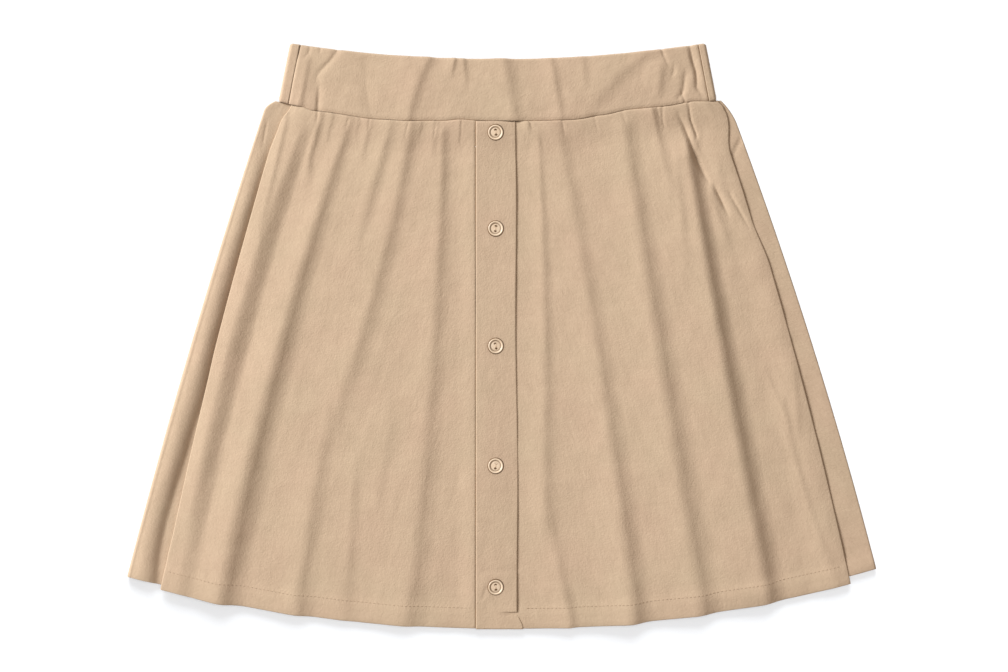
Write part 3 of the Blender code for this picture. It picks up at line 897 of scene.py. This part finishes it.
# %% Lay the placket
def lay_placket(down):
    y_top, y_bottom = seam_y(np.array(-4.0)) - 0.1, HEM_Y
    y = mix(y_top, y_bottom, down)
    free = placket_edge(y)
    roll = PLY / 2
    centre = free - roll - CLOTH / 2
    part = np.linspace(0.0, 1.0, 40).reshape(1, -1)
    top_x = mix(PLACKET_SEAM, centre, part)
    lift = 0.3 * hem_lift(y + 0 * top_x, 0 * top_x)
    top_z = placket_z(y) + placket_relief(top_x, y) + lift
    top_z = top_z - 0.25 * seam_dip(y) * smooth(1 - (top_x - PLACKET_SEAM) / 0.7)
    top_z = top_z - 0.2 * smooth(1 - (y_top - y) / 1.4)
    caught = smooth((CAUGHT_Y - y) / 1.1) * smooth((top_x + 3.0) / 12.0)
    let_go = smooth((CAUGHT_Y - 1.5 - y) / 5.0)
    top_z = top_z - (0.95 - 0.6 * let_go) * caught
    angle = np.linspace(pi / 2, -pi / 2, 9)[1:].reshape(1, -1)
    roll_x = centre + roll * np.cos(angle)
    roll_z = top_z[:, -1:] - roll + roll * np.sin(angle)
    under_x = mix(centre, PLACKET_SEAM + 3.0, np.linspace(0.0, 1.0, 9)[1:].reshape(1, -1))
    under_z = top_z[:, -1:] - 2 * roll + 0 * under_x
    x = np.concatenate([top_x, roll_x, under_x], axis=1)
    z = np.concatenate([top_z, roll_z, under_z], axis=1)
    return x, y + 0 * x, z


caught_at = (SEAM_Y - CAUGHT_Y) / SKIRT_LENGTH
placket_rows = np.concatenate([np.linspace(0.0, caught_at - 0.005, 250),
                               np.linspace(caught_at - 0.0045, caught_at + 0.0085, 22),
                               np.linspace(caught_at + 0.01, 1.0, 12)]).reshape(-1, 1)
placket = cloth_piece("placket_strip", lay_placket(placket_rows), ("placket",), uv_shift=700.0)

# %% [markdown]
# ## The waistband
#
# The band is a strip folded over its elastic: up inside, over the top edge and down the front.
# The elastic draws it in, so it puckers near the sides. The back half goes round both sides and
# shows as a narrow strip beyond each side seam. Its puckers use the same two kinds of table as
# the skirt's folds, so one set of functions lays both.

# %% Puckers of the waistband
BAND_FOLDS = (
    # name, start (x, y), end (x, y), bow, steep side, height, (fade in, fade out)
    ("left ridge", (-150, 214), (-157, 175), 0, (6, 6, 6), (0.6, 0.9, 0.8), (6, 0)),
    ("left band", (-54, 217), (-71, 169), -2, (12, 12, 9), (1.6, 1.5, 1.0), (0, 0)),
    ("nick 1", (-35, 218), (-38, 206), 0, (4, 4, 4), (0.8, 0.8, 0.4), (0, 6)),
    ("nick 2", (-29, 218), (-27, 200), 0, (4, 5, 5), (0.8, 0.7, 0.3), (0, 10)),
    ("middle band", (5, 216), (13, 169), 0, (14, 14, 13), (1.7, 1.5, 1.3), (0, 0)),
    ("right soft", (40, 217), (48, 170), 0, (8, 8, 8), (0.7, 1.1, 0.6), (0, 0)),
    ("right blot", (65, 214), (66, 199), 0, (8, 8, 8), (0.7, 0.7, 0.3), (0, 10)),
    ("right slant", (118, 222), (69, 169), -7, (18, 22, 16), (0.9, 1.4, 0.6), (0, 0)),
    ("right dip", (126, 212), (124, 190), 0, (9, 10, 8), (0.8, 1.2, 0.6), (4, 8)),
)
BAND_GROOVES = (
    # name, points (x, y) down the crease, depth (start, middle, end), reach left and right
    ("left nick", ((-149.4, 226), (-150.1, 221.5), (-152.5, 219)), (0.5, 0.5, 0.2), 1.8, 3.0),
    ("second nick", ((-140.8, 226), (-141.6, 221.5)), (0.5, 0.5, 0.2), 1.8, 3.0),
    ("wedge", ((-128, 223), (-131, 218.4), (-134.1, 214.5), (-138, 210.6), (-141.4, 206.7),
               (-144, 202), (-145, 194)), (0.8, 0.8, 0.3), 5.0, 7.0),
    ("left line", ((-142, 200), (-142.8, 187.2), (-143.6, 174)), (0.2, 0.9, 1.1), 2.8, 6.0),
    ("left soft", ((-105, 216), (-105.7, 196.6), (-103.4, 181), (-99.5, 168)), (0.2, 0.5, 0.3), 9, 11),
    ("right nick", ((124.2, 226), (126.1, 220), (128.4, 214.5), (130.8, 210.6)), (0.8, 0.7, 0.2),
     2.2, 4.0),
    ("right spot", ((134.2, 212), (134.2, 206.7), (132.6, 202)), (0.3, 0.6, 0.2), 3.0, 4.0),
    ("right line", ((143.4, 208), (142.6, 198.9), (141.8, 191.1), (137.9, 186.4)), (0.2, 1.0, 0.6),
     4.4, 5.0),
    ("right pinch", ((146.6, 227), (148.3, 217.6), (149.9, 212.2), (151.5, 206.7), (152.2, 200.5),
                     (152.2, 194.2), (156.1, 188.8)), (0.9, 1.8, 0.4), 3.2, 6.0),
    ("seam pinch", ((140.3, 191), (143.2, 182)), (0.5, 0.8, 0.8), 2.0, 3.0),
    ("end line", ((163.6, 212), (166.6, 186)), (0.2, 0.3, 0.3), 1.8, 2.5),
)
print(len(BAND_FOLDS), "soft puckers and", len(BAND_GROOVES), "creases on the waistband")

# %% [markdown]
# A band's rows go up its inner ply, over the top and down its outer ply. Each point is the
# band's middle surface, moved out by half its thickness.

# %% The band's rows
BAND_EDGE = {
    # across at the top edge and at the seam
    "left": (BAND_LEFT + 9.0, BAND_LEFT),
    "right": (BAND_RIGHT - 8.5, BAND_RIGHT),
}
BAND_STRIP = {"left": 8.0, "right": 6.0}
BAND_HALF = 0.9       # from the middle of the band to the middle of its outer ply
BAND_FRONT_Z = BAND_TOP - CLOTH / 2 - BAND_HALF
BAND_BACK_Z = CLOTH / 2 + BAND_HALF


def band_rows(count):
    """Parts of the depth from the seam up, and how far out of the band's middle each ply is."""
    inner = np.linspace(0.0, 0.97, 9)
    bend = np.linspace(-pi / 2, pi / 2, 9)[1:-1]
    outer = np.linspace(0.97, 0.0, count)
    height = np.concatenate([inner, 0.97 + 0.03 * np.cos(bend), outer])
    out = np.concatenate([inner * 0 - 1, np.sin(bend), outer * 0 + 1])
    tuck = np.concatenate([inner * 0, bend * 0, smooth(outer / 0.06) - 1])
    return height.reshape(-1, 1), (out + 0.8 * tuck).reshape(-1, 1)


def band_points(x_top, x_seam, height, out, out_x, out_z, middle_z, relief):
    """Points of a band: its middle surface, plus its plies either side of it."""
    x = mix(x_seam, x_top, height)
    from_end = np.minimum(x_top - BAND_EDGE["left"][0], BAND_EDGE["right"][0] - x_top)
    rounding = 1.6 * np.clip(1 - from_end / 3.0, 0, 1) ** 2
    y = mix(seam_y(x_seam) + 0.05, band_top_y(x_top) - rounding, height)
    lifted = relief(x, y) * smooth(1.5 * (1 + out) / 2)
    y = y + 0.35 * lifted * smooth((height - 0.7) / 0.3)
    return x + out * BAND_HALF * out_x, y, middle_z + out * BAND_HALF * out_z + lifted


print(f"The band's two plies are {2 * BAND_HALF} mm apart, from middle to middle")

# %% [markdown]
# The front half lies on the back half, just inside its two narrow strips. Its relief is added to
# the outer ply only, as the elastic keeps the inner one straight.

# %% Lay the waistband's front
def band_relief(x, y):
    lifted = folds_height(x, y, BAND_FOLDS) - grooves_depth(x, y, BAND_GROOVES)
    return lifted + 0.8 * ripple(x * 1.5, y * 1.5 + 20)


def lay_band_front():
    part = np.linspace(0.0, 1.0, 380).reshape(1, -1)
    left_top, left_seam = (edge + BAND_STRIP["left"] + 0.2 for edge in BAND_EDGE["left"])
    right_top, right_seam = (edge - BAND_STRIP["right"] - 0.2 for edge in BAND_EDGE["right"])
    height, out = band_rows(44)
    x_top, x_seam = mix(left_top, right_top, part), mix(left_seam, right_seam, part)
    side_seam = 1 - smooth(part * 230) + 1 - smooth((1 - part) * 230)

    def relief(x, y):
        return band_relief(x, y) - 0.5 * side_seam

    return band_points(x_top, x_seam, height, out, 0.0, 1.0, BAND_FRONT_Z, relief)


band_front = cloth_piece("waistband_front_cloth", lay_band_front(), ("waistband_front",),
                         uv_shift=900.0)

# %% [markdown]
# The back half of the band is the same strip, laid flat on the surface. At each side it turns
# up round a small bend and shows beside the front half. It could be two flat pieces and a
# tube, but one sheet keeps the bend smooth and closed.

# %% Lay the waistband's back
def lay_band_back():
    turn = (BAND_FRONT_Z - BAND_BACK_Z) / 2
    outside = turn + BAND_HALF + CLOTH / 2
    sections = []
    for side, sign in (("left", -1.0), ("right", 1.0)):
        strip = np.linspace(BAND_STRIP[side], outside, 6)
        angle = np.linspace(pi / 2, -pi / 2, 13)
        inset = np.concatenate([strip, outside - turn * np.cos(angle[1:])])
        z = np.concatenate([strip * 0 + BAND_FRONT_Z, BAND_BACK_Z + turn + turn * np.sin(angle[1:])])
        out_x = np.concatenate([strip * 0, sign * np.cos(angle[1:])])
        out_z = np.concatenate([strip * 0 + 1, np.sin(angle[1:])])
        section = [edge - sign * inset for edge in BAND_EDGE[side]] + [z, out_x, out_z]
        sections.append([part.reshape(1, -1) for part in section])
    left, right = sections
    part = np.linspace(0.0, 1.0, 150)[1:-1].reshape(1, -1)
    lying = [mix(left[k][:, -1:], right[k][:, -1:], part) for k in range(5)]
    whole = [np.concatenate([left[k], lying[k], right[k][:, ::-1]], axis=1) for k in range(5)]
    x_top, x_seam, z, out_x, out_z = whole
    height, out = band_rows(30)
    on_strip = (out_z > 0.9) * 1.0

    def relief(x, y):
        return 0.25 * on_strip * ripple(x * 2, y * 2)

    return band_points(x_top, x_seam, height, out, out_x, out_z, z, relief)


band_back = cloth_piece("waistband_back_cloth", lay_band_back(), ("waistband_back",),
                        uv_shift=1300.0)

# %% [markdown]
# ## The buttons
#
# A button is turned on a lathe: its profile is spun round with `bmesh.ops.spin`. The rim stands
# up, a groove lies inside it, and a low pad in the middle carries two holes. A Screw modifier
# could spin it too, but a finished mesh can also carry an attribute. The attribute holds painted
# shade: it says how far each corner is darkened to dark brown, on the rim's outer flank and in
# the groove, where shade falls.

# %% Turn the buttons
BUTTON_PROFILE = (
    # radius, height above the button's foot, painted shade (0 none, 1 dark brown)
    (0.0, 0.1, 1), (5.4, 0.0, 1), (6.25, 0.12, 1), (6.47, 0.4, 1), (6.5, 0.7, 1), (6.4, 1.05, 1),
    (6.22, 1.38, 1), (6.05, 1.62, 1), (5.88, 1.84, 0.8), (5.72, 2.02, 0.2), (5.5, 2.14, 0),
    (5.2, 2.18, 0), (4.9, 2.1, 0), (4.65, 1.86, 0.05), (4.42, 1.52, 0.3), (4.15, 1.28, 0.7),
    (3.88, 1.22, 0.7), (3.5, 1.34, 0.25), (3.2, 1.42, 0.1), (2.7, 1.46, 0.05), (0.0, 1.4, 0.05),
)
HOLE_RADIUS, HOLE_OFFSET, HOLE_FLOOR = 0.9, 1.95, 0.35
BUTTON_UP = CLOTH / 2 - 0.05        # from the middle of the placket's cloth to the foot


def turned_mesh(name, profile, place, segments):
    bm = bmesh.new()
    ring = [bm.verts.new((radius, 0.0, height)) for radius, height, _painted_shade in profile]
    edges = [bm.edges.new(pair) for pair in zip(ring, ring[1:])]
    bmesh.ops.spin(bm, geom=ring + edges, cent=(0, 0, 0), axis=(0, 0, 1), angle=2 * pi,
                   steps=segments, use_merge=True)
    bmesh.ops.remove_doubles(bm, verts=bm.verts, dist=1e-4)
    bmesh.ops.recalc_face_normals(bm, faces=bm.faces)
    # Painted shade: each corner takes the amount of dark brown shade of the nearest profile point.
    painted_shade = bm.loops.layers.float.new("painted_shade")
    for corner in [corner for face in bm.faces for corner in face.loops]:
        point = corner.vert.co
        from_profile = [(abs(point.to_2d().length - radius) + abs(point.z - height), shade_amount)
                        for radius, height, shade_amount in profile]
        corner[painted_shade] = min(from_profile)[1]
    bmesh.ops.transform(bm, matrix=place, verts=bm.verts)
    mesh = bpy.data.meshes.new(name)
    bm.to_mesh(mesh)
    bm.free()
    return mesh


print(f"A button is {2 * max(point[0] for point in BUTTON_PROFILE)} mm across")

# %% [markdown]
# The holes are sunk by a Boolean modifier, which is applied so that nothing is left to
# evaluate. They stop short of the foot, where the thread would fill them. Their walls and floors
# are then painted dark brown, as painted shade inside the holes.

# %% Drill the buttons
DRILL_LENGTH = 12.0


def drill(piece, place):
    """Sinks the two holes into a button and paints dark brown shade on their walls and floors."""
    centres = [place @ Vector((0.0, side * HOLE_OFFSET, HOLE_FLOOR)) for side in (-1, 1)]
    bm = bmesh.new()
    for centre in centres:
        matrix = Matrix.Translation(centre + Vector((0.0, 0.0, DRILL_LENGTH / 2 * MM)))
        bmesh.ops.create_cone(bm, cap_ends=True, segments=20, radius1=HOLE_RADIUS * MM,
                              radius2=HOLE_RADIUS * MM, depth=DRILL_LENGTH * MM, matrix=matrix)
    mesh = bpy.data.meshes.new("drill")
    bm.to_mesh(mesh)
    bm.free()
    cutter = bpy.data.objects.new("drill", mesh)
    bpy.context.scene.collection.objects.link(cutter)
    cut = piece.modifiers.new("Holes", "BOOLEAN")
    cut.object = cutter
    bpy.context.view_layer.update()
    evaluated = piece.evaluated_get(bpy.context.evaluated_depsgraph_get())
    drilled = bpy.data.meshes.new_from_object(evaluated)
    piece.modifiers.clear()
    piece.data = drilled
    bpy.data.objects.remove(cutter)
    bpy.data.meshes.remove(mesh)
    # Painted shade: the faces of the holes' walls and floors are made fully dark brown.
    painted_shade = drilled.attributes["painted_shade"].data
    shaded_faces = 0
    for face in drilled.polygons:
        from_hole = min((face.center - centre).to_2d().length for centre in centres)
        if from_hole < 1.02 * HOLE_RADIUS * MM and face.center.z > centres[0].z - 0.2 * MM:
            shaded_faces += 1
            for corner in face.loop_indices:
                painted_shade[corner].value = 1.0
    drilled.shade_smooth()
    drilled.set_sharp_from_angle(angle=radians(50))
    return shaded_faces


def add_button(number, tilt):
    low, high = box_mm(f"button_{number}")
    x, y = (low[0] + high[0]) / 2, (low[1] + high[1]) / 2
    centre = Vector((x, y, placket_z(y) + BUTTON_UP))
    lean = Euler((radians(tilt[0]), radians(tilt[1]), radians(tilt[2])))
    place = Matrix.Scale(MM, 4) @ Matrix.Translation(centre) @ lean.to_matrix().to_4x4()
    mesh = turned_mesh(f"button_{number}", BUTTON_PROFILE, place, 56)
    button = add_piece(f"button_{number}_turned", mesh, horn, (f"button_{number}",))
    print(button.name, "has", drill(button, place), "faces in its holes")
    return button, place


# %% [markdown]
# Strands of thread come up through one hole and go down the other. Each is a rod that is grown
# one step at a time by extruding its end face, so it stays a closed tube. A bevelled curve would
# do as well, but it would have to be turned into a mesh.

# %% Sew the buttons on
STRAND_LANES = (-0.32, 0.0, 0.32)   # of the three strands, to either side of the bar's middle
STRAND = (
    # along the line through both holes, height above the button's foot
    (-1.4, 0.5), (-1.35, 1.2), (-0.95, 1.66), (0.0, 1.74), (0.95, 1.66), (1.35, 1.2), (1.4, 0.5),
)
STRAND_RADIUS, STRAND_TURN = 0.2, 0.52


def add_button_thread(number, place):
    """Strands over the bar between the holes, each a bent rod."""
    bm = bmesh.new()
    for lane in STRAND_LANES:
        start = bmesh.ops.create_circle(bm, segments=8, radius=STRAND_RADIUS, cap_ends=True,
                                        matrix=Matrix.Translation((lane, *STRAND[0])))
        face = start["verts"][0].link_faces[0]
        for before, after in zip(STRAND, STRAND[1:]):
            grown = bmesh.ops.extrude_discrete_faces(bm, faces=[face])
            face = grown["faces"][0]
            step = Vector((0.0, after[0] - before[0], after[1] - before[1]))
            bmesh.ops.translate(bm, vec=step, verts=face.verts)
            along_y = (after[0] - before[0]) / max(step.length, 1e-6)
            coming_up = 1 if after[0] <= 0.1 else -1
            turn = Matrix.Rotation(-along_y * STRAND_TURN * coming_up, 3, "X")
            middle = face.calc_center_median()
            bmesh.ops.rotate(bm, cent=middle, matrix=turn, verts=face.verts)
    bmesh.ops.recalc_face_normals(bm, faces=bm.faces)
    bmesh.ops.transform(bm, matrix=place, verts=bm.verts)
    mesh = bpy.data.meshes.new(f"button_{number}_thread")
    bm.to_mesh(mesh)
    bm.free()
    return add_piece(f"button_{number}_thread", mesh, pale_thread)


# how each button leans, in degrees about X, Y and Z, from the waist down
BUTTON_TILTS = ((5, -3, 8), (-2, 2, -6), (1, 3, 14), (-3, -1, -12), (3, 2, 4))
small_parts = []
for number, tilt in enumerate(BUTTON_TILTS, start=1):
    button, button_place = add_button(number, tilt)
    small_parts += [button, add_button_thread(number, button_place)]
print(len(BUTTON_TILTS), "buttons turned and sewn on")

# %% [markdown]
# ## Stitches
#
# A row of stitches is one small, low-poly bead of thread, repeated along a line on the cloth.
# Each bead follows the line's direction and sinks a little into the nap. The rows could be drawn
# in the material, but then they would be flat from a low angle. One mesh holds a whole row.

# %% A row of stitches
STITCH_LENGTH, STITCH_PITCH, STITCH_WIDE, STITCH_RISE = 2.3, 3.1, 0.34, 0.16


def sew(name, points):
    """Stitches along a polyline of (x, y, z) in millimetres, at the cloth's top face."""
    points = np.array(points)
    steps = np.linalg.norm(np.diff(points[:, :2], axis=0), axis=1)
    run = np.concatenate([[0.0], np.cumsum(steps)])
    starts = np.arange(STITCH_PITCH / 2, run[-1] - STITCH_PITCH / 2, STITCH_PITCH)
    bm = bmesh.new()
    for place in starts:
        ends = [Vector([np.interp(place + shift, run, points[:, axis]) for axis in range(3)])
                for shift in (-STITCH_LENGTH / 2, STITCH_LENGTH / 2)]
        direction = (ends[1] - ends[0]).normalized()
        turn = direction.to_track_quat("X", "Z").to_matrix().to_4x4()
        size = Matrix.Diagonal((STITCH_LENGTH / 2, STITCH_WIDE / 2, STITCH_RISE, 1.0))
        matrix = Matrix.Scale(MM, 4) @ Matrix.Translation((ends[0] + ends[1]) / 2) @ turn @ size
        bmesh.ops.create_uvsphere(bm, u_segments=6, v_segments=4, radius=1.0, matrix=matrix)
    mesh = bpy.data.meshes.new(name)
    bm.to_mesh(mesh)
    bm.free()
    add_piece(name, mesh, thread)
    print(f"{name}: {len(starts)} stitches")


# %% [markdown]
# The hem's rows run a little above its folded-up edge, from the folds at the sides to the
# placket. They are read off the front's own height, so they ride over every fold.

# %% Sew the hem
STITCH_PROUD = 0.07   # from the cloth's top face up to the middle of a stitch


def on_front(x, y):
    down = (seam_y(x) - y) / (seam_y(x) - hem_y(x, FRONT_SWEEP))
    return front_height(x, y, down) + CLOTH / 2 + STITCH_PROUD


def hem_row(side):
    fold_x = line_x(f"{side} fold", 0.965)
    if side == "left":
        x = np.linspace(fold_x + 3.0, placket_low[0] - 2.0, 150)
    else:
        x = np.linspace(placket_high[0] + 7.0, fold_x - 3.0, 150)
    y = notched_hem(x, FRONT_SWEEP) + HEM_DEPTH
    z = on_front(x, y)
    if side == "left":
        seam = smooth(1 - (placket_low[0] - x) / 16.0)
        z = mix(z, placket_z(y) + CLOTH / 2, seam)
    return np.stack([x, y, z], axis=1)


sew("hem_stitches_left", hem_row("left"))
sew("hem_stitches_right", hem_row("right"))

# %% [markdown]
# ## The sheets of cloth
#
# Six sheets of cloth have been laid: the two front panels, the back, the placket and the two
# halves of the waistband.

print("Six sheets of cloth laid")

# %% [markdown]
# ## Floor, light and camera
#
# The skirt is seen from straight above on a plain pale floor, which is a single large sheet just
# below it. The camera stands far off with a long lens, so that it looks nearly straight down on
# the hem as well.

# %% Floor and camera
def add_floor():
    bm = bmesh.new()
    bmesh.ops.create_grid(bm, x_segments=2, y_segments=2, size=20.0,
                          matrix=Matrix.Translation((0, 0, -0.0002)))
    mesh = bpy.data.meshes.new("floor")
    bm.to_mesh(mesh)
    bm.free()
    mesh.materials.append(floor_finish())
    floor = bpy.data.objects.new("floor", mesh)
    bpy.context.scene.collection.objects.link(floor)
    return floor


def add_camera():
    lens, sensor, view_width = 85.0, 36.0, 0.7862
    data = bpy.data.cameras.new("camera")
    data.lens = lens
    data.sensor_width = sensor
    camera = bpy.data.objects.new("camera", data)
    bpy.context.scene.collection.objects.link(camera)
    camera.location = (0.00195, 0.00078, view_width * lens / sensor + 0.003)
    bpy.context.scene.camera = camera


table = add_floor()
add_camera()
print(f"The camera is {bpy.context.scene.camera.location.z:.2f} m up")

# %% [markdown]
# A wide, low sun from the upper left rakes across the folds, a pale sky fills their shadows, and
# a soft lamp on the left makes that side a touch brighter. The raking light would throw a long
# shadow over the floor, so light linking keeps it off the table, which has two suns of its own:
# one overhead and one behind the waistband for the soft shadow along the hem. The buttons cast
# no hard shadow, as in a studio where they are lit from all round.

# %% Lights
def group_of(name, pieces, state):
    """A light group that names pieces only to leave them out (EXCLUDE) or take them (INCLUDE)."""
    group = bpy.data.collections.new(name)
    for piece in pieces:
        group.objects.link(piece)
    for entry in group.collection_objects:
        entry.light_linking.link_state = state
    return group


def add_sun(elevation, azimuth, strength, spread):
    data = bpy.data.lights.new("sun", "SUN")
    data.energy = strength
    data.angle = radians(spread)
    data.color = (0.97, 1.0, 1.02)
    lamp = bpy.data.objects.new("sun", data)
    bpy.context.scene.collection.objects.link(lamp)
    lamp.rotation_euler = (radians(90 - elevation), 0.0, radians(azimuth + 90))
    return lamp


def add_side_lamp():
    data = bpy.data.lights.new("side_lamp", "AREA")
    data.energy = 7.0
    data.size = 0.9
    lamp = bpy.data.objects.new("side_lamp", data)
    bpy.context.scene.collection.objects.link(lamp)
    lamp.location = (-0.95, 0.35, 0.75)
    lamp.rotation_euler = (Vector((0, 0, 0)) - lamp.location).to_track_quat("-Z", "Y").to_euler()
    return lamp


def add_sky(strength):
    world = bpy.data.worlds.new("sky")
    bpy.context.scene.world = world
    world.use_nodes = True
    sky = world.node_tree.nodes["Background"]
    sky.inputs["Color"].default_value = (1.06, 0.94, 0.84, 1.0)
    sky.inputs["Strength"].default_value = strength


all_but_table = group_of("all but the table", [table], "EXCLUDE")
only_table = group_of("only the table", [table], "INCLUDE")
raking = add_sun(elevation=27, azimuth=152, strength=4.0, spread=22)
side_lamp = add_side_lamp()
for lamp in (raking, side_lamp):
    lamp.light_linking.receiver_collection = all_but_table
    lamp.light_linking.blocker_collection = group_of("no button shadows", small_parts, "EXCLUDE")
for lamp in (add_sun(elevation=22, azimuth=95, strength=2.6, spread=34),
             add_sun(elevation=90, azimuth=90, strength=1.7, spread=40)):
    lamp.light_linking.receiver_collection = only_table
add_sky(0.38)
bpy.context.scene.view_settings.view_transform = "Standard"
print(len(bpy.data.lights), "lights")
